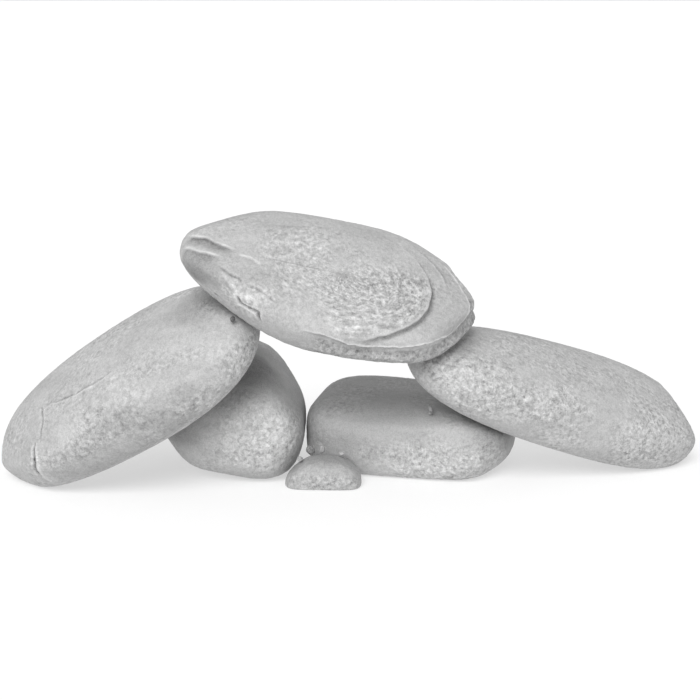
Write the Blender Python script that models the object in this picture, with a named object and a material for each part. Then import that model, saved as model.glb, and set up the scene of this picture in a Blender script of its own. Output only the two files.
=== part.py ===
"""A low arch of six loose, water-worn basalt massage stones, with the grit caught in its joints.

Metres, +Z up, +X to the right along the arch, -Y towards the viewer.
Two base stones stand side by side, a long stone leans on each of them, the top stone bridges
the leaning two, and a small flat-bottomed stone stands in front of the joint of the bases.
Every stone is set down on the ones that carry it, so the arch closes again when a size changes.
"""
from dataclasses import dataclass, replace
from math import radians

import bmesh
import bpy
from mathutils import Matrix, Vector
from mathutils.bvhtree import BVHTree

MM = 0.001
GAP = 0.3 * MM          # air between two stones that rest on each other
BED = 0.7 * MM          # depth of the flat worn where a stone stands on the ground
FAR = 300 * MM          # further than any stone travels before it meets its neighbour
STEEPEST_LEAN = 60.0    # degrees within which a leaning stone finds its rest
TOP_TILTS = (-45.0, 20.0)       # degrees within which the top stone finds its rest
FINE_ANGLE = 0.01       # degrees to which a tilt is found
ON_GROUND = 0.0001 * MM         # nearness at which a corner counts as lying on the ground

RIGHT, BACK, DOWN = Vector((1, 0, 0)), Vector((0, 1, 0)), Vector((0, 0, -1))


@dataclass
class Stone:
    """Sizes in metres, angles in degrees; X is the stone's length, Y its width, Z its thickness."""

    length: float
    width: float
    thickness: float
    heading: float = 0.0        # turn of the length about the vertical
    rise: float = 0.0           # lift of the right end
    roll: float = 0.0           # lift of the far edge, which shows the broad face
    squareness: float = 2.2     # 2 is an ellipsoid, higher is fuller at the shoulders
    taper: float = 0.0          # how much fuller the right end is
    fineness: int = 4           # icosphere subdivisions
    worn: tuple = ()            # flats worn on it: ((direction), share of the half size)


LEFT_BASE = Stone(
    length=53 * MM, width=58 * MM, thickness=40.5 * MM, rise=-9, roll=4, squareness=3.6,
    taper=0.05, worn=(((-0.6, -0.5, 0.8), 0.37), ((0.7, 0.0, 0.75), 0.28),
                      ((-0.75, -0.3, -0.6), 0.16), ((0.8, 0.7, 0.2), 0.12)))
RIGHT_BASE = Stone(
    length=70 * MM, width=46 * MM, thickness=26.2 * MM, heading=-15, rise=-1, roll=6, squareness=4.2,
    taper=-0.05, worn=(((0.0, -0.5, 1.0), 0.06), ((0.55, 0.2, 1.0), 0.21),
                       ((0.8, -0.4, -0.4), 0.08)))
FRONT = Stone(
    length=25.5 * MM, width=17 * MM, thickness=16 * MM, heading=-2, squareness=2.8,
    taper=0.03, fineness=3,
    worn=(((-0.7, 0.0, 0.8), 0.16), ((0.7, 0.0, 0.8), 0.12), ((0.0, -1.0, -0.2), 0.2)))
LEFT_LEANING = Stone(
    length=104.5 * MM, width=56 * MM, thickness=30 * MM, heading=-14, roll=30, squareness=2.45,
    taper=0.08, worn=(((0.2, -0.3, 1.0), 0.10), ((-0.5, -0.2, 1.0), 0.08),
                      ((-0.7, -0.7, 0.0), 0.06), ((0.8, 0.3, 0.7), 0.06)))
RIGHT_LEANING = Stone(
    length=113.5 * MM, width=44.5 * MM, thickness=28 * MM, heading=22, roll=26, squareness=2.6,
    taper=0.10, worn=(((0.1, -0.2, 1.0), 0.08), ((0.8, 0.1, 0.9), 0.06)))
TOP = Stone(
    length=99.5 * MM, width=55 * MM, thickness=24 * MM, heading=8, roll=35, squareness=2.45,
    worn=(((0.0, -0.1, 1.0), 0.12), ((-0.6, -0.8, -0.3), 0.20), ((-0.45, 0.6, 0.65), 0.06),
          ((0.75, 0.65, 0.0), 0.10), ((0.8, -0.6, 0.0), 0.12)))

# Places across and in depth, from the joint of the two base stones at their widest
LEFT_BASE_DEPTH = 14 * MM
RIGHT_BASE_DEPTH = 14.5 * MM
LEFT_END = 103 * MM             # left end of the arch, to the left of the joint
LEFT_LEANING_DEPTH = -9 * MM
RIGHT_END = 135.5 * MM          # right end of the arch, to the right of the joint
RIGHT_LEANING_DEPTH = 6 * MM
TOP_SIDE = 9.5 * MM
TOP_DEPTH = -19 * MM
FRONT_SIDE = 6.4 * MM
FRONT_HEIGHT = 9.5 * MM         # what is left of the front stone above its flat underside

# Grit caught in the joints
CRUMB = Stone(length=2.2 * MM, width=1.9 * MM, thickness=1.8 * MM, squareness=2.6, fineness=2)
PIP = Stone(length=2.0 * MM, width=2.0 * MM, thickness=3.0 * MM, squareness=2.2, fineness=2)
PELLET = Stone(length=3.2 * MM, width=3.0 * MM, thickness=3.4 * MM, squareness=2.4, fineness=2)
SPLINTER = Stone(length=1.8 * MM, width=2.2 * MM, thickness=4.2 * MM, squareness=2.4, fineness=2)
SPECK = Stone(length=1.8 * MM, width=2.0 * MM, thickness=2.0 * MM, squareness=2.4, fineness=2)

# Grit dropped behind the front stone: (across from the joint, back from the stone's centre)
PELLET_PLACE = (2.0 * MM, 6.0 * MM)
PIP_PLACE = (6.0 * MM, 3.5 * MM)
LEFT_CRUMB_PLACE = (-1.4 * MM, 0.0 * MM)
RIGHT_CRUMB_PLACE = (12.5 * MM, 1.5 * MM)

# Chips pushed back into a joint: (across from the joint of the bases, height)
RIGHT_CHIP_PLACE = (42 * MM, 24.5 * MM)
TOP_CHIP_PLACE = (-21.5 * MM, 60 * MM)


# ---------------------------------------------------------------- shape of one stone

def superellipsoid(direction, power):
    """The point of the unit superellipsoid in this direction."""
    reach = sum(abs(part) ** power for part in direction) ** (-1 / power)
    return direction * reach


def wear_flat(bm, direction, share):
    """Press in the side that faces this direction by a share of its reach, with a soft edge."""
    facing = Vector(direction).normalized()
    reach = max(vert.co.dot(facing) for vert in bm.verts)
    soft = 2 * share * reach
    for vert in bm.verts:
        over = vert.co.dot(facing) - (reach - soft)
        if over > 0:
            vert.co -= facing * over * over / (2 * soft)


def fit_size(bm, size):
    """Centre the stone on its origin and bring it back to its length, width and thickness."""
    for axis in range(3):
        low = min(vert.co[axis] for vert in bm.verts)
        high = max(vert.co[axis] for vert in bm.verts)
        for vert in bm.verts:
            vert.co[axis] = (vert.co[axis] - (low + high) / 2) * size[axis] / (high - low)


def make_stone(name, stone, material, collection):
    """A pebble: a superellipsoid, fuller at one end, with the flats the water wore on it."""
    bm = bmesh.new()
    bmesh.ops.create_icosphere(bm, subdivisions=stone.fineness, radius=1.0)
    size = Vector((stone.length, stone.width, stone.thickness))
    for vert in bm.verts:
        point = superellipsoid(vert.co.normalized(), stone.squareness)
        swell = 1 + stone.taper * point.x
        vert.co = Vector((point.x * size.x, point.y * size.y * swell, point.z * size.z * swell)) / 2
    for direction, share in stone.worn:
        wear_flat(bm, direction, share)
    fit_size(bm, size)
    mesh = bpy.data.meshes.new(name)
    bm.to_mesh(mesh)
    bm.free()
    mesh.shade_smooth()
    mesh.materials.append(material)
    obj = bpy.data.objects.new(name, mesh)
    collection.objects.link(obj)
    turn(obj, stone)
    return obj


# ---------------------------------------------------------------- setting the stones down

def turn(obj, stone):
    """Give the stone its heading, rise and roll where it stands."""
    heading = Matrix.Rotation(radians(stone.heading), 4, "Z")
    rise = Matrix.Rotation(radians(-stone.rise), 4, "Y")
    roll = Matrix.Rotation(radians(stone.roll), 4, "X")
    obj.matrix_world = Matrix.Translation(obj.matrix_world.translation) @ heading @ rise @ roll


def move(obj, offset):
    obj.matrix_world = Matrix.Translation(offset) @ obj.matrix_world


def skin(obj, grow=0.0):
    """The stone's vertices in world space, pushed out by grow, and its faces."""
    turned = obj.matrix_world.to_3x3()
    points = [obj.matrix_world @ vert.co + (turned @ vert.normal) * grow for vert in obj.data.vertices]
    faces = [tuple(face.vertices) for face in obj.data.polygons]
    return points, faces


def reach(obj, direction):
    """How far the stone reaches from the world's origin in this direction."""
    return max(point.dot(direction) for point in skin(obj)[0])


def stand(obj, sunk=BED):
    """Put the stone on the ground, sunk by the depth of the flat it gets there."""
    move(obj, DOWN * (sunk - reach(obj, DOWN)))


def distance(obj, supports, direction):
    """How far the stone can travel in this direction before it meets a support."""
    points, faces = skin(obj)
    own_tree = BVHTree.FromPolygons(points, faces)
    nearest = FAR
    for support in supports:
        others, other_faces = skin(support, GAP)
        tree = BVHTree.FromPolygons(others, other_faces)
        hits = [tree.ray_cast(point, direction, FAR)[3] for point in points]
        hits += [own_tree.ray_cast(point, -direction, FAR)[3] for point in others]
        nearest = min([nearest] + [hit for hit in hits if hit is not None])
    return nearest


def push(obj, supports, direction):
    """Draw the stone well back, then slide it this way until it rests against a support."""
    move(obj, -direction * FAR / 2)
    move(obj, direction * distance(obj, supports, direction))


def touching(obj, supports):
    tree = BVHTree.FromPolygons(*skin(obj))
    return any(tree.overlap(BVHTree.FromPolygons(*skin(other, GAP))) for other in supports)


def lean(obj, stone, supports, end, outward):
    """Keep the stone's outer end in place on the ground and lower it onto its supports."""
    steep, flat = STEEPEST_LEAN, 0.0
    while steep - flat > FINE_ANGLE:
        rise = (steep + flat) / 2
        turn(obj, replace(stone, rise=-rise * outward.x))
        stand(obj)
        move(obj, outward * (end - reach(obj, outward)))
        if touching(obj, supports):
            flat = rise
        else:
            steep = rise


def bridge(obj, stone, left, right):
    """Lower the stone onto both of its supports, tilting it until it meets them together."""
    low, high = TOP_TILTS
    while high - low > FINE_ANGLE:
        rise = (low + high) / 2
        turn(obj, replace(stone, rise=rise))
        if distance(obj, [left], DOWN) < distance(obj, [right], DOWN):
            high = rise
        else:
            low = rise
    move(obj, DOWN * distance(obj, [left, right], DOWN))


def cut_flat(obj):
    """Take off all that lies below the ground and close the stone with one flat face."""
    bm = bmesh.new()
    bm.from_mesh(obj.data)
    to_local = obj.matrix_world.inverted()
    everything = bm.verts[:] + bm.edges[:] + bm.faces[:]
    bmesh.ops.bisect_plane(bm, geom=everything, dist=ON_GROUND, clear_outer=True,
                           plane_co=to_local @ Vector((0, 0, 0)), plane_no=to_local.to_3x3() @ DOWN)
    rim = [edge for edge in bm.edges if edge.is_boundary]
    bmesh.ops.edgeloop_fill(bm, edges=rim)
    bmesh.ops.recalc_face_normals(bm, faces=bm.faces[:])
    bm.to_mesh(obj.data)
    bm.free()


# ---------------------------------------------------------------- the arch

def stone_material(name, grey, roughness):
    material = bpy.data.materials.new(name)
    material.use_nodes = True
    surface = material.node_tree.nodes["Principled BSDF"]
    surface.inputs["Base Color"].default_value = (grey, grey, grey, 1)
    surface.inputs["Roughness"].default_value = roughness
    surface.inputs["Metallic"].default_value = 0.0
    return material


def set_bases(collection, material):
    """Two base stones side by side; their joint is at x = 0."""
    left = make_stone("left_base_stone", LEFT_BASE, material, collection)
    stand(left)
    move(left, BACK * LEFT_BASE_DEPTH - RIGHT * reach(left, RIGHT))
    right = make_stone("right_base_stone", RIGHT_BASE, material, collection)
    stand(right)
    move(right, BACK * RIGHT_BASE_DEPTH)
    push(right, [left], -RIGHT)
    return left, right


def set_leaning(collection, material, left_base, right_base):
    left = make_stone("left_leaning_stone", LEFT_LEANING, material, collection)
    move(left, BACK * LEFT_LEANING_DEPTH)
    lean(left, LEFT_LEANING, [left_base], LEFT_END, -RIGHT)
    right = make_stone("right_leaning_stone", RIGHT_LEANING, material, collection)
    move(right, BACK * RIGHT_LEANING_DEPTH)
    lean(right, RIGHT_LEANING, [right_base], RIGHT_END, RIGHT)
    return left, right


def set_top(collection, material, left, right):
    top = make_stone("top_stone", TOP, material, collection)
    move(top, RIGHT * TOP_SIDE + BACK * TOP_DEPTH - DOWN * FAR / 2)
    bridge(top, TOP, left, right)
    return top


def set_front(collection, material, bases):
    front = make_stone("front_stone", FRONT, material, collection)
    stand(front, sunk=FRONT.thickness - FRONT_HEIGHT)
    move(front, RIGHT * FRONT_SIDE)
    cut_flat(front)
    push(front, bases, BACK)
    return front


def drop_grit(name, stone, place, front, supports, collection, material):
    """Drop a bit of grit into the corner behind the front stone."""
    grit = make_stone(name, stone, material, collection)
    across, back = place
    move(grit, RIGHT * across + BACK * (front.matrix_world.translation.y + back))
    push(grit, supports, DOWN)


def wedge_chip(name, stone, place, supports, collection, material):
    """Push a chip back into the joint between two stones until it jams."""
    chip = make_stone(name, stone, material, collection)
    across, height = place
    move(chip, RIGHT * across - DOWN * height)
    push(chip, supports, BACK)


def centre_arch(objects):
    """Move the whole arch so that the middle of its box is over the world's origin."""
    for direction in (RIGHT, BACK):
        high = max(reach(obj, direction) for obj in objects)
        low = -max(reach(obj, -direction) for obj in objects)
        for obj in objects:
            move(obj, -direction * (high + low) / 2)


def main():
    for obj in list(bpy.data.objects):
        bpy.data.objects.remove(obj)
    stones = bpy.data.collections.new("massage_stone_arch")
    bpy.context.scene.collection.children.link(stones)
    pale = stone_material("pale_basalt", 0.50, 0.60)
    dark = stone_material("basalt_grit", 0.44, 0.75)

    left_base, right_base = set_bases(stones, pale)
    left, right = set_leaning(stones, pale, left_base, right_base)
    top = set_top(stones, pale, left, right)
    for stone in (left_base, right_base, left, right):
        cut_flat(stone)
    bases = [left_base, right_base]
    front = set_front(stones, pale, bases)
    corner = bases + [front]
    drop_grit("joint_pellet", PELLET, PELLET_PLACE, front, corner, stones, dark)
    drop_grit("joint_pip", PIP, PIP_PLACE, front, corner, stones, dark)
    drop_grit("left_crumb", CRUMB, LEFT_CRUMB_PLACE, front, corner, stones, dark)
    drop_grit("right_crumb", CRUMB, RIGHT_CRUMB_PLACE, front, corner, stones, dark)
    wedge_chip("right_joint_chip", SPLINTER, RIGHT_CHIP_PLACE, [right_base, right], stones, dark)
    wedge_chip("top_joint_chip", SPECK, TOP_CHIP_PLACE, [left, top], stones, dark)
    centre_arch(list(stones.objects))


main()
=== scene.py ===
import math

import bpy
import numpy as np
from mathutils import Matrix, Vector
from mathutils.bvhtree import BVHTree


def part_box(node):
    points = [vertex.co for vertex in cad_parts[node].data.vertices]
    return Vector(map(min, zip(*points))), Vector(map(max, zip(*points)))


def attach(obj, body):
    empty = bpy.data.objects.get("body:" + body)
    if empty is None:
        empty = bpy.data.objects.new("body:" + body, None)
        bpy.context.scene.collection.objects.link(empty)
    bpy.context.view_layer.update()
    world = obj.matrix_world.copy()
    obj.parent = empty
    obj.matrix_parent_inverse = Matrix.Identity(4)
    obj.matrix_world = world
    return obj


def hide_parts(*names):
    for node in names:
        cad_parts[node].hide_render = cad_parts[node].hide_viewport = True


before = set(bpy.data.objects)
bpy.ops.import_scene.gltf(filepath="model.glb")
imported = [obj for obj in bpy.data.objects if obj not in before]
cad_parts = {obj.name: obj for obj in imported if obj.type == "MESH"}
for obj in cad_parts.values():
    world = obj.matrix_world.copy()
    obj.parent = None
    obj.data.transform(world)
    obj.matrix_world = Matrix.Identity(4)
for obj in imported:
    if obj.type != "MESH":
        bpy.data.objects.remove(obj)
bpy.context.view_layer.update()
mm = 0.001
jointPlay = 0.25    # how far a skin may stand out of its solid, in millimetres
skinDepth = 0.05    # how far a worked skin lies below its solid on the whole, in millimetres
print("frame loaded")

# Lengths on a stone are in millimetres, in the stone's own axes:
# lengthways, across, and out of its broad face.


def ease(value, low, high):
    t = np.clip((value - low) / (high - low), 0, 1)
    return t * t * (3 - 2 * t)


def ridge(gap, width):
    # 1 on a line, fading out over its width to each side
    return np.exp(-(gap / width) ** 2)


def cloud(points, size, seed):
    # smooth random swell from -1 to 1, its bumps about one size apart
    tableSize = 4096
    table = np.random.default_rng(seed).random(tableSize) * 2 - 1
    grid = points / np.asarray(size, float) + 512.37
    cell = np.floor(grid).astype(np.int64)
    part = grid - cell
    part = part * part * (3 - 2 * part)
    total = np.zeros(len(points))
    for corner in range(8):
        step = np.array([corner & 1, corner >> 1 & 1, corner >> 2 & 1])
        x, y, z = (cell + step).T
        share = np.where(step == 1, part, 1 - part).prod(axis=1)
        total += share * table[(x * 73856093 ^ y * 19349663 ^ z * 83492791) % tableSize]
    return total


def layeredCloud(points, size, seed, layers=3, fade=0.55):
    # a cloud with finer ones laid over it
    size = np.asarray(size, float)
    total = sum(fade ** k * cloud(points, size / 2 ** k, seed + k) for k in range(layers))
    return total / sum(fade ** k for k in range(layers))


def pathFrom(start, legs):
    # a crack or an edge, walked from its start in legs of a length and a heading in degrees
    points = [np.array(start, float)]
    for length, heading in legs:
        turn = math.radians(heading)
        points.append(points[-1] + length * np.array([math.cos(turn), math.sin(turn)]))
    return np.array(points)


def pathGap(flat, path):
    # distance from a path, which side of it (left is positive), and how far along it, from 0 to 1
    best = np.full(len(flat), np.inf)
    side = np.zeros(len(flat))
    along = np.zeros(len(flat))
    lengths = np.linalg.norm(np.diff(path, axis=0), axis=1)
    walked = 0.0
    for start, end, length in zip(path[:-1], path[1:], lengths):
        run = (end - start) / length
        off = flat - start
        t = np.clip(off @ run, 0, length)
        gap = np.linalg.norm(off - t[:, None] * run, axis=1)
        nearer = gap < best
        best[nearer] = gap[nearer]
        side[nearer] = np.sign(run[0] * off[:, 1] - run[1] * off[:, 0])[nearer]
        along[nearer] = ((walked + t) / lengths.sum())[nearer]
        walked += length
    return best, side, along


class Surface:
    # a stone's skin as points, with what the finish reads at each one:
    # its tone, with wear and painted shade and light in it, how open it is, its strokes and the way
    # they run

    def __init__(self, obj):
        mesh = obj.data
        self.obj = obj
        self.points = np.zeros(len(mesh.vertices) * 3)
        mesh.vertices.foreach_get("co", self.points)
        self.points = self.points.reshape(-1, 3)
        self.edges = np.zeros(len(mesh.edges) * 2, np.int64)
        mesh.edges.foreach_get("vertices", self.edges)
        self.edges = self.edges.reshape(-1, 2)
        self.wear, self.grit, self.strokes = np.zeros((3, len(self.points)))
        self.run = np.zeros((len(self.points), 3))
        self.settle()

    def settle(self):
        # finds the axes: the longest first, the face's last and upward
        self.middle = self.points.mean(axis=0)
        spread = (self.points - self.middle).T @ (self.points - self.middle)
        long, face = np.linalg.eigh(spread)[1][:, [2, 0]].T
        long *= math.copysign(1, long[0])
        face *= math.copysign(1, face[2])
        self.axes = np.stack([long, np.cross(face, long), face])

    def own(self):
        return (self.points - self.middle) @ self.axes.T / mm

    def relax(self, rounds):
        # evens out the facets of the solid, then fills the stone back up to its size
        for k in range(3):
            self.points[:, k] = self.even(self.points[:, k], rounds)
        for refill in (2 * rounds, rounds // 2):
            out, _ = self.heights()
            self.press(self.even(out, refill))

    def even(self, values, rounds):
        # spreads a value of each point over its neighbours
        first, second = self.edges.T
        count = len(values)
        ties = np.bincount(first, minlength=count) + np.bincount(second, minlength=count)
        for _ in range(rounds):
            values = 0.5 * values + 0.5 * (np.bincount(first, values[second], count)
                                           + np.bincount(second, values[first], count)) / ties
        return values

    def heights(self):
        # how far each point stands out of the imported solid, and which way is out there
        found = [self.solid.find_nearest(point) for point in self.points]
        nearest = np.array([place for place, _, _, _ in found])
        outward = np.array([normal for _, normal, _, _ in found])
        return ((self.points - nearest) * outward).sum(axis=1) / mm, outward

    def store(self):
        self.obj.data.vertices.foreach_set("co", self.points.ravel())
        self.obj.data.update()

    def normals(self):
        self.store()
        found = np.zeros(len(self.points) * 3)
        self.obj.data.vertices.foreach_get("normal", found)
        return found.reshape(-1, 3)

    def press(self, depth):
        # sinks the skin by a depth in millimetres
        self.points -= self.normals() * (depth * mm)[:, None]

    def fillUp(self, rounds):
        # brings the worked skin back to just below the solid, keeping its relief
        out, _ = self.heights()
        self.press(self.even(out, rounds) + skinDepth)

    def finish(self):
        # nothing stands further out of the solid than the play in the joints
        out, way = self.heights()
        self.points -= way * (np.maximum(out - jointPlay, 0) * mm)[:, None]
        self.points = np.clip(self.points, *self.room)
        self.store()
        mesh = self.obj.data
        for name, low, high in (("wear", -2.5, 1.5), ("grit", -0.3, 1), ("strokes", 0, 1)):
            values = np.clip(getattr(self, name), low, high).astype(np.float32)
            mesh.attributes.new(name, "FLOAT", "POINT").data.foreach_set("value", values)
        run = mesh.attributes.new("run", "FLOAT_VECTOR", "POINT")
        run.data.foreach_set("vector", self.run.astype(np.float32).ravel())
        mesh.polygons.foreach_set("use_smooth", np.ones(len(mesh.polygons), bool))


def skinOf(nodeName, name, fineness, rounds):
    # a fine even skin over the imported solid, as a new piece
    piece = bpy.data.objects.new(name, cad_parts[nodeName].data.copy())
    bpy.context.scene.collection.objects.link(piece)
    fine = piece.modifiers.new("fineSkin", "REMESH")
    fine.mode = "VOXEL"
    fine.voxel_size = fineness * mm * 1
    worked = piece.evaluated_get(bpy.context.evaluated_depsgraph_get())
    rough = bpy.data.meshes.new_from_object(worked)
    piece.modifiers.clear()
    piece.data = rough
    rough.materials.clear()
    skin = Surface(piece)
    skin.solid = BVHTree.FromObject(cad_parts[nodeName], bpy.context.evaluated_depsgraph_get())
    skin.room = [np.array(corner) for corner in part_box(nodeName)]
    skin.relax(rounds)
    skin.settle()
    return skin


def weather(skin, look):
    # swells, bedding lines, open grain and small pits, the grain darker in places and the pits darkened
    # as painted shade
    own = skin.own()
    seed = look["seed"]
    swell = look["swell"] * (0.2 + 0.5 * layeredCloud(own, look["swellSize"], seed, 2))
    beds = look["beds"] * (0.3 + 0.5 * layeredCloud(own, look["bedSize"], seed + 10, 2))
    patch = ease(layeredCloud(own, look["patchSize"], seed + 20, 2), -0.25, 0.35)
    skin.grit += look["open"] * patch
    openness = 0.35 + 0.65 * np.clip(skin.grit, 0, 1)
    grains = layeredCloud(own, look["grainSize"], seed + 30, 2, 0.7)
    pitted = ease(cloud(own, look["pitSize"], seed + 40), 0.35, 0.8)
    # darker grain, and painted shade in the pits
    skin.wear -= openness * (0.35 * pitted + 0.45 * grains)
    skin.press(swell + beds + look["grain"] * openness * (0.3 + grains) + look["pits"] * pitted)


def spotOn(skin, spot):
    # a patch of another tone and openness, used for the stone's own patches and for painted shade and
    # light; its place is across, back and up from the stone's middle
    off = (skin.points - skin.middle) / mm - np.array(spot["place"])
    gap = np.sqrt(((off / np.array(spot["reach"])) ** 2).sum(axis=1))
    gap += 0.25 * layeredCloud(skin.own(), 6, spot["seed"])
    skin.wear += spot["tone"] * ease(-gap, -1.1, -0.2)
    skin.grit += spot["open"] * ease(-gap, -1.2, -0.4)


def crack(skin, cut):
    # a crack with a pale lip on each side and painted shade down its groove, on the broad face or, with
    # "side", on the near side
    own = skin.own()
    flat = own[:, [0, 2]] if cut.get("side") else own[:, :2]
    there = own[:, 1] < 0 if cut.get("side") else own[:, 2] > -3
    shift = np.stack([cloud(own, 3, cut["seed"]), cloud(own, 3, cut["seed"] + 1)], axis=1)
    shift *= 0.5 * cut["wander"]
    gap, _, along = pathGap(flat + shift, pathFrom(cut["start"], cut["legs"]))
    strength = ease(along, 0, 0.15) * ease(1 - along, 0, 0.2) * there
    groove = ridge(gap, cut["width"]) * strength
    lip = ridge(gap - 2.1 * cut["width"], cut["width"]) * strength
    skin.press(cut["depth"] * groove)
    # pale lips, and painted shade down the groove
    skin.wear += cut["lip"] * lip - cut["dark"] * groove


def splitLayer(skin, edge):
    # a layer that ends at a broken edge: the skin drops on the right of its path, with painted shadow
    # at the step's foot and painted shade over the dropped part
    own = skin.own()
    ragged = edge["ragged"] * layeredCloud(own, 5, edge["seed"], 3)
    gap, side, along = pathGap(own[:, :2], pathFrom(edge["start"], edge["legs"]))
    beyond = -gap * side + ragged
    strength = ease(along, 0, 0.12) * ease(1 - along, 0, 0.3) * (own[:, 2] > -3)
    drop = ease(beyond, 0, edge["slope"]) * (1 - ease(beyond, edge["slope"], edge["reach"]))
    skin.press(edge["step"] * drop * strength)
    broken = 0.65 + 0.5 * cloud(own, 2.5, edge["seed"] + 9)
    skin.wear += edge["lip"] * broken * ridge(beyond + 0.3, 0.42) * strength
    # painted shadow at the foot of the step, and painted shade over the recess below it
    skin.wear -= edge["dark"] * ridge(beyond - edge["slope"], 0.5) * strength
    skin.wear -= edge["recess"] * drop * strength


def node(tree, kind, **values):
    made = tree.nodes.new(kind)
    for key, value in values.items():
        if key in made.inputs.keys():
            made.inputs[key].default_value = value
        else:
            setattr(made, key, value)
    return made


def swellMap(tree, place, scale, detail=3.0, rough=0.6, low=0.35, high=0.65):
    # noise stretched to the full range 0 to 1
    noise = node(tree, "ShaderNodeTexNoise", Scale=scale, Detail=detail, Roughness=rough)
    spread = node(tree, "ShaderNodeMapRange")
    spread.inputs["From Min"].default_value = low
    spread.inputs["From Max"].default_value = high
    tree.links.new(place, noise.inputs["Vector"])
    tree.links.new(noise.outputs["Fac"], spread.inputs["Value"])
    return spread.outputs["Result"]


def reckon(tree, kind, first, second):
    sums = node(tree, "ShaderNodeMath", operation=kind)
    for socket, value in zip(sums.inputs, (first, second)):
        if isinstance(value, (int, float)):
            socket.default_value = value
        else:
            tree.links.new(value, socket)
    return sums.outputs[0]


def swing(tree, value, level, amount):
    # a value's swing about a level, times an amount
    return reckon(tree, "MULTIPLY", reckon(tree, "SUBTRACT", value, level), amount)


def attributeOf(tree, name, output="Fac"):
    return node(tree, "ShaderNodeAttribute", attribute_name=name).outputs[output]


plainFinish = {
    "tone": 0.42, "cast": (1.0, 1.0, 1.0),
    "lie": (0, 0, 0), "bedding": (0.35, 1, 1.6),    # how the stone's beds lie, and their stretch
    "mottle": 0.07, "mottleScale": 70, "speckle": 0.22, "speckleScale": 850,
    "dust": 0.09, "dustScale": 2400, "chips": 0.16, "chipScale": 900,
    "strokes": 0.30, "strokeScale": 1.0, "wear": 0.15, "closedGrain": 0.25,
    "roughness": (0.72, 0.55), "sheen": 0.3, "bump": 0.8, "bumpDepth": 0.22, "dustDepth": 0.3,
}


def stoneFinish(name, finish):
    made = bpy.data.materials.new(name)
    made.use_nodes = True
    tree = made.node_tree
    shader = tree.nodes["Principled BSDF"]
    place = node(tree, "ShaderNodeTexCoord").outputs["Object"]
    stretch = node(tree, "ShaderNodeMapping")
    stretch.inputs["Rotation"].default_value = [math.radians(a) for a in finish["lie"]]
    stretch.inputs["Scale"].default_value = finish["bedding"]
    tree.links.new(place, stretch.inputs["Vector"])

    mottle = swellMap(tree, stretch.outputs["Vector"], finish["mottleScale"], 4)
    speckle = swellMap(tree, place, finish["speckleScale"], 3, 0.7, 0.36, 0.64)
    dust = swellMap(tree, place, finish["dustScale"], 2, 0.6)
    chips = node(tree, "ShaderNodeTexVoronoi", Scale=finish["chipScale"])
    chip = node(tree, "ShaderNodeSeparateColor")
    tree.links.new(place, chips.inputs["Vector"])
    tree.links.new(chips.outputs["Color"], chip.inputs["Color"])
    closed = finish["closedGrain"]      # how much grain shows where the skin is closed
    grit = reckon(tree, "MULTIPLY", attributeOf(tree, "grit"), 1 - closed)
    grit = reckon(tree, "ADD", grit, closed)
    run = attributeOf(tree, "run", "Vector")
    lines = swellMap(tree, run, finish["strokeScale"], 3, 0.65, 0.44, 0.70)
    strokes = attributeOf(tree, "strokes")

    flecks = reckon(tree, "ADD", swing(tree, speckle, 0.45, finish["speckle"]),
                    swing(tree, chip.outputs["Red"], 0.5, finish["chips"]))
    total = finish["tone"]
    for part in (swing(tree, mottle, 0.5, finish["mottle"]), reckon(tree, "MULTIPLY", flecks, grit),
                 swing(tree, dust, 0.5, finish["dust"]),
                 reckon(tree, "MULTIPLY", swing(tree, lines, 0.25, finish["strokes"]), strokes),
                 # the skin's tone attribute: wear, with painted shade and light
                 reckon(tree, "MULTIPLY", attributeOf(tree, "wear"), finish["wear"])):
        total = reckon(tree, "ADD", part, total)
    grey = node(tree, "ShaderNodeCombineColor")
    for channel, cast in zip(("Red", "Green", "Blue"), finish["cast"]):
        tree.links.new(reckon(tree, "MULTIPLY", total, cast), grey.inputs[channel])
    tree.links.new(grey.outputs["Color"], shader.inputs["Base Color"])

    gloss = node(tree, "ShaderNodeMapRange")
    gloss.inputs["To Min"].default_value = finish["roughness"][0]
    gloss.inputs["To Max"].default_value = finish["roughness"][1]
    tree.links.new(speckle, gloss.inputs["Value"])
    tree.links.new(gloss.outputs["Result"], shader.inputs["Roughness"])
    shader.inputs["Specular IOR Level"].default_value = finish["sheen"]

    height = reckon(tree, "ADD", reckon(tree, "MULTIPLY", speckle, grit),
                    reckon(tree, "MULTIPLY", lines, strokes))
    depth = finish["bumpDepth"] * mm
    fine = node(tree, "ShaderNodeBump", Strength=finish["bump"], Distance=depth)
    finest = node(tree, "ShaderNodeBump", Strength=finish["bump"], Distance=finish["dustDepth"] * depth)
    tree.links.new(height, fine.inputs["Height"])
    tree.links.new(dust, finest.inputs["Height"])
    tree.links.new(fine.outputs["Normal"], finest.inputs["Normal"])
    tree.links.new(finest.outputs["Normal"], shader.inputs["Normal"])
    return made


def setOut(skin, nodeName, body, finish):
    # gives the worked piece its finish and hands it to its body
    skin.finish()
    piece = skin.obj
    piece.data.materials.append(stoneFinish(piece.name + "Finish", {**plainFinish, **finish}))
    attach(piece, body)
    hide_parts(nodeName)
    print("made", piece.name, len(piece.data.polygons), "faces")
    return piece


# The top stone is a split slab: its upper layer ends at a curved ledge,
# and a shelf runs out below it.

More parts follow.
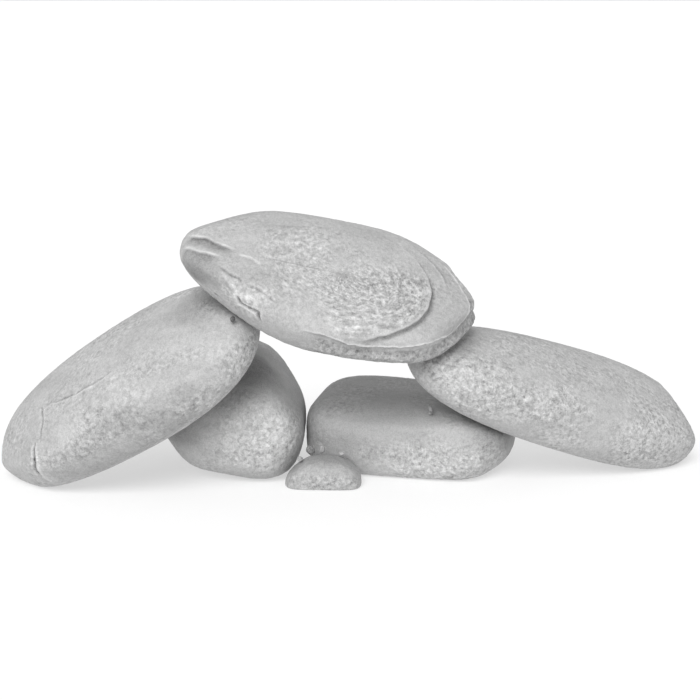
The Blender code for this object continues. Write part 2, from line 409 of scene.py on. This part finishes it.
topStone = {
    "seed": 11, "fineness": 0.42, "rounds": 50, "open": 0.35,
    "swell": 0.5, "swellSize": (26, 16, 14), "beds": 0.2, "bedSize": (16, 3.4, 2.2),
    "patchSize": (16, 12, 8), "grain": 0.17, "grainSize": 1.2, "pits": 0.08, "pitSize": 2.1,
    "rings": (
        {"middle": (0, -6), "reach": (29.7, 24.8, 22), "arc": (-82, 68), "fade": 26, "step": 1.4,
         "slope": 0.7, "ragged": 0.6, "lip": 0.6, "dark": 1.0, "foot": 0.4, "seed": 51},
        {"middle": (5, -2), "reach": (39, 26, 26), "arc": (-114, 40), "fade": 12, "step": 0.9,
         "slope": 0.6, "ragged": 1.1, "lip": 2.6, "dark": 0.2, "foot": 0.15, "seed": 53,
         "tuck": 0.8, "low": 2.5, "climb": 6.5, "climbOver": (-12, 8)},
        {"middle": (1, -3), "reach": (34.5, 27, 27), "arc": (4, 52), "fade": 14, "step": 0.3,
         "slope": 0.5, "ragged": 0.9, "lip": 0.8, "dark": 0.5, "foot": 0.1, "seed": 55},
    ),
    "strokes": {"middle": (0, -6), "reach": (29.7, 24.8, 22), "depth": 0.28, "pale": 0.8, "seed": 61,
                "zones": (((12, -13), (24, 19), 1.0), ((-13, -4), (15, 18), 0.65),
                          ((-22, 3), (18, 5), 0.55))},
    "band": {"from": -8, "dark": 0.4, "streaks": 0.35, "depth": 0.3, "seed": 71},
    "layers": (
        {"start": (-49, 2.9), "legs": ((6, -22), (4, -35), (5, -28), (3, -30)), "step": 0.45,
         "slope": 0.4, "reach": 4.6, "ragged": 0.8, "lip": 1.3, "dark": 0.4, "recess": 1.4, "seed": 31},
        {"start": (-49.5, -1.8), "legs": ((6, -37), (6, -23), (2, -23)), "step": 0.35, "slope": 0.4,
         "reach": 5.5, "ragged": 0.5, "lip": 1.5, "dark": 0.4, "recess": 0.8, "seed": 33},
        {"start": (-33, -6.6), "legs": ((4, -4), (5, -33)), "step": 0.2, "slope": 0.4, "reach": 3,
         "ragged": 0.6, "lip": 1.6, "dark": 0.2, "recess": 0.1, "seed": 37},
        {"start": (-37, -15), "legs": ((8, -42), (5, -14), (5, -50)), "step": 0.5, "slope": 0.5,
         "reach": 9, "ragged": 0.7, "lip": 0.9, "dark": 0.7, "recess": -0.25, "seed": 35},
    ),
    "cracks": (
        {"start": (-38.5, -11.5), "legs": ((4, -36), (4.5, -30), (3, -55)), "width": 0.34,
         "depth": 0.35, "wander": 1.2, "lip": 0.3, "dark": 0.9, "seed": 41},
        {"start": (-29, -18), "legs": ((4, -8), (4, -35), (3.5, -25)), "width": 0.34, "depth": 0.3,
         "wander": 1.2, "lip": 0.4, "dark": 0.8, "seed": 45},
        {"start": (-31.5, 5.2), "legs": ((3.5, -58), (3.4, 4), (2.6, 12), (5, -72)), "side": True,
         "width": 0.5, "depth": 0.7, "wander": 1.2, "lip": 1.1, "dark": 1.6, "seed": 43},
    ),
    "spots": (
        {"place": (-28, -21.5, -1), "reach": (10, 7, 6), "tone": 0.5, "open": 0.7, "seed": 81},
        # the next two spots darken and smooth facets that face downward: painted shade, and a closed
        # skin
        {"place": (-44, -16, 6), "reach": (12, 9, 8), "tone": -0.8, "open": -0.3, "seed": 83},
        {"place": (-14, -24, -12), "reach": (9, 8, 6), "tone": -0.2, "open": -0.3, "seed": 85},
    ),
    "finish": {"lie": (35, 12, 8)},
}


def ringOf(own, ring):
    # where each point lies on a ring: how far beyond it, its share of the reach, and its bearing
    right, up, down = ring["reach"]
    x, y = (own[:, :2] - np.array(ring["middle"])).T
    x, y = x / right, np.where(y > 0, y / up, y / down)
    share = np.hypot(x, y)
    beyond = (share - 1) * down
    if "tuck" in ring:      # this ring lies on the stone's side and climbs towards the back
        climbed = ring["climb"] * ease(own[:, 1], *ring["climbOver"])
        beyond -= ring["tuck"] * (own[:, 2] - ring["low"] - climbed)
    return beyond, share, np.arctan2(y, x)


def breakRing(skin, ring):
    # a layer that ends on an arc: the skin drops beyond it, with painted shadow at the ledge's foot
    own = skin.own()
    beyond, _, bearing = ringOf(own, ring)
    beyond = beyond + ring["ragged"] * layeredCloud(own, 6, ring["seed"], 4, 0.7)
    first, last = np.radians(ring["arc"])
    tail = math.radians(ring["fade"])
    here = ease(bearing, first, first + tail) * ease(-bearing, -last, -last + tail)
    here = here * ease(own[:, 2], -4, -1)
    skin.press(ring["step"] * ease(beyond, 0, ring["slope"]) * here)
    skin.press(ring["foot"] * ridge(beyond - ring["slope"], 0.6) * here)
    broken = 0.65 + 0.5 * cloud(own, 2.5, ring["seed"] + 9)
    skin.wear += ring["lip"] * broken * ridge(beyond + 0.35, 0.45) * here
    # painted shadow at the foot of the ledge
    skin.wear -= ring["dark"] * ridge(beyond - 0.8 * ring["slope"], 0.6) * here


def scoreFace(skin, strokes):
    # rough pale strokes that follow the broken layer round
    own = skin.own()
    beyond, share, bearing = ringOf(own, strokes)
    down = strokes["reach"][2]
    skin.run = np.stack([share * down, bearing * down / 3, own[:, 2] * 0.1], axis=1)
    zone = np.zeros(len(own))
    for middle, reach, strength in strokes["zones"]:
        gap = np.hypot(*((own[:, :2] - middle) / reach).T)
        gap += 0.25 * layeredCloud(own, 7, strokes["seed"] + 5, 2)
        zone = np.maximum(zone, strength * ease(-gap, -1.1, -0.55))
    here = zone * ease(-beyond, 0.1, 1.0) * ease(own[:, 2], 0, 3)
    lines = layeredCloud(skin.run, (1.3, 1.3, 1), strokes["seed"], 3, 0.7)
    skin.press(strokes["depth"] * here * (0.2 + lines))
    skin.wear += here * strokes["pale"] * ease(lines, 0.05, 0.5)
    skin.grit += 0.5 * here
    skin.strokes += here


def roughenBand(skin, band, rim):
    # the broken side below the shelf's edge: open, with streaks along it, and darker, partly the broken
    # stone's own tone and partly painted shade on this downward-facing band
    own = skin.own()
    beyond, _, _ = ringOf(own, rim)
    here = ease(beyond, 0.4, 1.4) * ease(own[:, 0], band["from"], band["from"] + 6)
    here *= 1 - ease(own[:, 1], 0, 6)
    streaks = layeredCloud(own, (7, 7, 1.1), band["seed"], 2, 0.7)
    skin.press(band["depth"] * here * (0.2 + streaks))
    # darker band: partly the broken edge's tone, partly painted shade, with darker streaks along it
    skin.wear -= here * (band["dark"] + band["streaks"] * streaks)
    skin.grit += 0.6 * here


def makeTopStone():
    top = topStone
    skin = skinOf("top_stone", "topStone", top["fineness"], top["rounds"])
    for ring in top["rings"]:
        breakRing(skin, ring)
    scoreFace(skin, top["strokes"])
    roughenBand(skin, top["band"], top["rings"][1])
    for layer in top["layers"]:
        splitLayer(skin, layer)
    for cut in top["cracks"]:
        crack(skin, cut)
    for spot in top["spots"]:
        spotOn(skin, spot)
    weather(skin, top)
    return setOut(skin, "top_stone", "top", top["finish"])


# The left leaning stone has a cracked foot, a slightly raised plate and painted shade on its lower
# side.

leftLeaningStone = {
    "seed": 111, "fineness": 0.47, "rounds": 45, "fill": 30, "open": 0.6,
    "swell": 0.5, "swellSize": (30, 18, 16), "beds": 0.12, "bedSize": (14, 4, 3),
    "patchSize": (18, 10, 8), "grain": 0.16, "grainSize": 1.3, "pits": 0.12, "pitSize": 2.2,
    "cracks": (
        {"start": (-26, -4.5), "legs": ((7, -84), (7, -100)), "width": 0.36, "depth": 0.4,
         "wander": 1.4, "lip": 0.5, "dark": 1.2, "seed": 141},
        {"start": (-29.5, -17.5), "legs": ((3.5, -118), (4, -142)), "width": 0.5, "depth": 0.8,
         "wander": 1.4, "lip": 0.9, "dark": 1.8, "seed": 143},
    ),
    "spots": (
        {"place": (44, -26, 14), "reach": (16, 12, 10), "tone": 0.1, "open": 0.6, "seed": 151},
        {"place": (8, -18, -2), "reach": (24, 14, 14), "tone": 0.12, "open": 0.5, "seed": 153},
        # painted shade where the top stone overhangs
        {"place": (30, -8, 26), "reach": (18, 14, 10), "tone": -0.8, "open": -0.3, "seed": 155},
        {"place": (-34, -18, -18), "reach": (16, 16, 14), "tone": -0.3, "open": 0.1, "seed": 157},
    ),
    "paintedLowSideShade": {"from": 23, "dark": 0.55},
    "layers": (
        {"start": (6, -11), "legs": ((16, 182), (12, 160), (6, 190)), "step": 0.4, "slope": 0.6,
         "reach": 12, "ragged": 1.1, "lip": 1.1, "dark": 0.8, "recess": 0.0, "seed": 131},
    ),
    "finish": {"lie": (30, -31, -14)},
}


def makeLeftLeaningStone():
    left = leftLeaningStone
    skin = skinOf("left_leaning_stone", "leftLeaningStone", left["fineness"], left["rounds"])
    for layer in left["layers"]:
        splitLayer(skin, layer)
    for cut in left["cracks"]:
        crack(skin, cut)
    for spot in left["spots"]:
        spotOn(skin, spot)
    # painted shade along the lower side, which faces down
    side = left["paintedLowSideShade"]
    skin.wear -= side["dark"] * ease(-skin.own()[:, 1], side["from"], side["from"] + 3)
    weather(skin, left)
    skin.fillUp(left["fill"])
    return setOut(skin, "left_leaning_stone", "left_leaning", left["finish"])


# The right leaning stone is smooth above, with an open grained lower half.

rightLeaningStone = {
    "seed": 211, "fineness": 0.45, "rounds": 45, "fill": 30, "open": 0.6,
    "swell": 0.45, "swellSize": (30, 18, 16), "beds": 0.10, "bedSize": (14, 4, 3),
    "patchSize": (16, 9, 7), "grain": 0.17, "grainSize": 1.3, "pits": 0.14, "pitSize": 2.2,
    "spots": (
        {"place": (-36, -29, 13), "reach": (17, 12, 9), "tone": 0.05, "open": 0.7, "seed": 251},
        {"place": (-12, -27, 4), "reach": (26, 12, 8), "tone": 0.05, "open": 0.7, "seed": 253},
        {"place": (34, -10, -12), "reach": (24, 14, 10), "tone": 0.1, "open": 0.6, "seed": 255},
        # painted shade on the left end, under the top stone
        {"place": (-40, -14, 20), "reach": (17, 16, 10), "tone": -1.0, "open": -0.3, "seed": 257},
    ),
    "finish": {"lie": (26, 19, 22)},
}


def makeRightLeaningStone():
    right = rightLeaningStone
    skin = skinOf("right_leaning_stone", "rightLeaningStone", right["fineness"], right["rounds"])
    for spot in right["spots"]:
        spotOn(skin, spot)
    weather(skin, right)
    skin.fillUp(right["fill"])
    return setOut(skin, "right_leaning_stone", "right_leaning", right["finish"])


# The two base stones are fine above and open grained low down; painted shade darkens them under the
# stones above, and their low fronts are paler, partly painted light.

baseLook = {
    "fineness": 0.5, "rounds": 30, "fill": 20, "closed": 0.3, "open": 0.6,
    "swell": 0.5, "swellSize": (22, 18, 12), "beds": 0.10, "bedSize": (10, 5, 2.5),
    "patchSize": (14, 10, 8), "grain": 0.20, "grainSize": 1.3, "pits": 0.14, "pitSize": 2.2,
}
leftBaseStone = {
    **baseLook, "seed": 311,
    "spots": (
        # pale, open grained low front: partly open grain, partly painted light
        {"place": (12, -27, -3), "reach": (19, 14, 14), "tone": 0.5, "open": 1.0, "seed": 351},
        # painted shade under the top stone and the left leaning stone
        {"place": (8, -16, 20), "reach": (30, 26, 13), "tone": -1.2, "open": -0.4, "seed": 355},
        # painted shade where the left leaning stone lies over it
        {"place": (-16, -20, 2), "reach": (12, 16, 14), "tone": -0.8, "open": -0.2, "seed": 357},
    ),
    "finish": {"lie": (5, 2, -10)},
}
rightBaseStone = {
    **baseLook, "seed": 411,
    "spots": (
        # pale, open grained low front: partly open grain, partly painted light
        {"place": (9, -22, -5), "reach": (30, 12, 9), "tone": 0.2, "open": 1.0, "seed": 353},
        # darker top band: partly the stone's own tone, partly painted shade under the top stone
        {"place": (0, -12, 12), "reach": (40, 18, 7), "tone": -0.35, "open": -0.1, "seed": 359},
        # painted shade under the right leaning stone
        {"place": (30, -14, 6), "reach": (19, 18, 10), "tone": -1.2, "open": -0.3, "seed": 361},
    ),
    "finish": {"lie": (5, 2, -10)},
}


def makeBaseStone(base, nodeName, name, body):
    skin = skinOf(nodeName, name, base["fineness"], base["rounds"])
    for spot in base["spots"]:
        spotOn(skin, spot)
    skin.grit -= base["closed"]
    weather(skin, base)
    skin.fillUp(base["fill"])
    return setOut(skin, nodeName, body, base["finish"])


# The small stone in front is pale and granular.

frontStone = {
    "seed": 511, "fineness": 0.28, "rounds": 24, "fill": 16, "open": 0.6,
    "swell": 0.3, "swellSize": (9, 8, 6), "beds": 0.08, "bedSize": (6, 3, 1.6),
    "patchSize": (8, 6, 5), "grain": 0.16, "grainSize": 1.1, "pits": 0.10, "pitSize": 1.7,
    "spots": (
        # paler middle: partly open grain, partly painted light
        {"place": (1, -8, -1), "reach": (9, 6, 3), "tone": 0.3, "open": 0.8, "seed": 551},
        {"place": (2, 0, 5), "reach": (13, 9, 3.5), "tone": -0.4, "open": -0.2, "seed": 553},
    ),
    "finish": {"lie": (0, 0, -2), "tone": 0.38},
}


def makeFrontStone():
    front = frontStone
    skin = skinOf("front_stone", "frontStone", front["fineness"], front["rounds"])
    for spot in front["spots"]:
        spotOn(skin, spot)
    weather(skin, front)
    skin.fillUp(front["fill"])
    return setOut(skin, "front_stone", "front", front["finish"])


# Grit caught in the joints: a dark pellet, a pip, two crumbs and two chips.

jointGrit = {
    "seed": 611, "fineness": 0.1, "rounds": 10, "open": 0.6,
    "swell": 0.15, "swellSize": 1.4, "beds": 0.05, "bedSize": 0.9, "patchSize": 2,
    "grain": 0.06, "grainSize": 0.5, "pits": 0.05, "pitSize": 0.8,
    "knaps": 9, "knapDepth": (0.06, 0.3),   # broken faces, and the least and greatest share off each
    "pieces": (
        ("joint_pellet", "jointPellet", "front", 0.26), ("joint_pip", "jointPip", "front", 0.38),
        ("left_crumb", "leftCrumb", "front", 0.42), ("right_crumb", "rightCrumb", "front", 0.42),
        ("right_joint_chip", "rightJointChip", "right_base", 0.28),
        # the top joint chip is near black and sits in the crease where the top stone meets the left
        # leaning stone
        ("top_joint_chip", "topJointChip", "left_leaning", 0.10),
    ),
}


def knap(skin, draw, look):
    # breaks flat faces onto a bit of grit
    for _ in range(look["knaps"]):
        way = draw.normal(size=3)
        way /= np.linalg.norm(way)
        height = (skin.points - skin.middle) @ way
        limit = height.max() * (1 - draw.uniform(*look["knapDepth"]))
        skin.points -= np.maximum(height - limit, 0)[:, None] * way


def makeGrit():
    draw = np.random.default_rng(jointGrit["seed"])
    for count, (nodeName, name, body, tone) in enumerate(jointGrit["pieces"]):
        skin = skinOf(nodeName, name, jointGrit["fineness"], jointGrit["rounds"])
        knap(skin, draw, jointGrit)
        weather(skin, {**jointGrit, "seed": jointGrit["seed"] + 100 * count})
        setOut(skin, nodeName, body, {"tone": tone})


# Floor, light and camera.

studio = {
    "floorRadius": 150.0, "floorSides": 96, "floorDrop": 0.1, "floorTone": 0.52, "floorGlow": 0.47,
    "frontLight": 0.72, "backLight": 0.72, "overheadLight": 0.5,
    "keyPower": 2.5, "keySoftness": 35, "keyPlace": (-0.25, -1.0, 0.85),
    "aim": (-0.001, 0, 0.0438), "distance": 0.551, "elevation": 12, "lens": 85,
}


def pointAt(obj, target):
    obj.rotation_euler = (Vector(target) - obj.location).to_track_quat("-Z", "Y").to_euler()


def fade(tree, value, low, high):
    # a value from 0 to 1 turned into one from low to high
    made = node(tree, "ShaderNodeMapRange")
    for socket, given in (("Value", value), ("To Min", low), ("To Max", high)):
        if isinstance(given, (int, float)):
            made.inputs[socket].default_value = given
        else:
            tree.links.new(given, made.inputs[socket])
    return made.outputs["Result"]


def makeRoom():
    # a bright surround, brightest in front, that dims overhead
    room = bpy.data.worlds.new("room")
    room.use_nodes = True
    tree = room.node_tree
    way = node(tree, "ShaderNodeSeparateXYZ")
    tree.links.new(node(tree, "ShaderNodeTexCoord").outputs["Generated"], way.inputs["Vector"])
    toBack = reckon(tree, "ADD", reckon(tree, "MULTIPLY", way.outputs["Y"], 0.5), 0.5)
    around = fade(tree, toBack, studio["frontLight"], studio["backLight"])
    strength = fade(tree, way.outputs["Z"], around, studio["overheadLight"])
    tree.links.new(strength, tree.nodes["Background"].inputs["Strength"])
    tree.nodes["Background"].inputs["Color"].default_value = (1, 1, 1, 1)
    bpy.context.scene.world = room
    print("made the room")


def makeKeyLight():
    lamp = bpy.data.lights.new("keyLight", "SUN")
    lamp.energy = studio["keyPower"]
    lamp.angle = math.radians(studio["keySoftness"])
    key = bpy.data.objects.new("keyLight", lamp)
    key.location = studio["keyPlace"]
    pointAt(key, (0, 0, 0))
    bpy.context.scene.collection.objects.link(key)
    print("made the key light")


def makeFloor():
    turns = [math.tau * k / studio["floorSides"] for k in range(studio["floorSides"])]
    rim = [(studio["floorRadius"] * math.cos(turn), studio["floorRadius"] * math.sin(turn),
            -studio["floorDrop"] * mm) for turn in turns]
    mesh = bpy.data.meshes.new("floor")
    mesh.from_pydata(rim, [], [list(range(len(rim)))])
    floor = bpy.data.objects.new("floor", mesh)
    bpy.context.scene.collection.objects.link(floor)
    paper = bpy.data.materials.new("floorPaper")
    paper.use_nodes = True
    shader = paper.node_tree.nodes["Principled BSDF"]
    shader.inputs["Base Color"].default_value = (studio["floorTone"],) * 3 + (1,)
    shader.inputs["Roughness"].default_value = 0.9
    shader.inputs["Specular IOR Level"].default_value = 0.0
    shader.inputs["Emission Color"].default_value = (1, 1, 1, 1)
    shader.inputs["Emission Strength"].default_value = studio["floorGlow"]
    mesh.materials.append(paper)
    print("made the floor")


def makeCamera():
    lens = bpy.data.cameras.new("camera")
    lens.lens = studio["lens"]
    lens.clip_start = 0.01
    lens.clip_end = 1000
    camera = bpy.data.objects.new("camera", lens)
    tilt = math.radians(studio["elevation"])
    back = Vector((0, -math.cos(tilt), math.sin(tilt)))
    camera.location = Vector(studio["aim"]) + studio["distance"] * back
    pointAt(camera, studio["aim"])
    bpy.context.scene.collection.objects.link(camera)
    bpy.context.scene.camera = camera
    bpy.context.scene.view_settings.view_transform = "Standard"
    print("made the camera")


makeTopStone()
makeLeftLeaningStone()
makeRightLeaningStone()
makeBaseStone(leftBaseStone, "left_base_stone", "leftBaseStone", "left_base")
makeBaseStone(rightBaseStone, "right_base_stone", "rightBaseStone", "right_base")
makeFrontStone()
makeGrit()
makeFloor()
makeRoom()
makeKeyLight()
makeCamera()
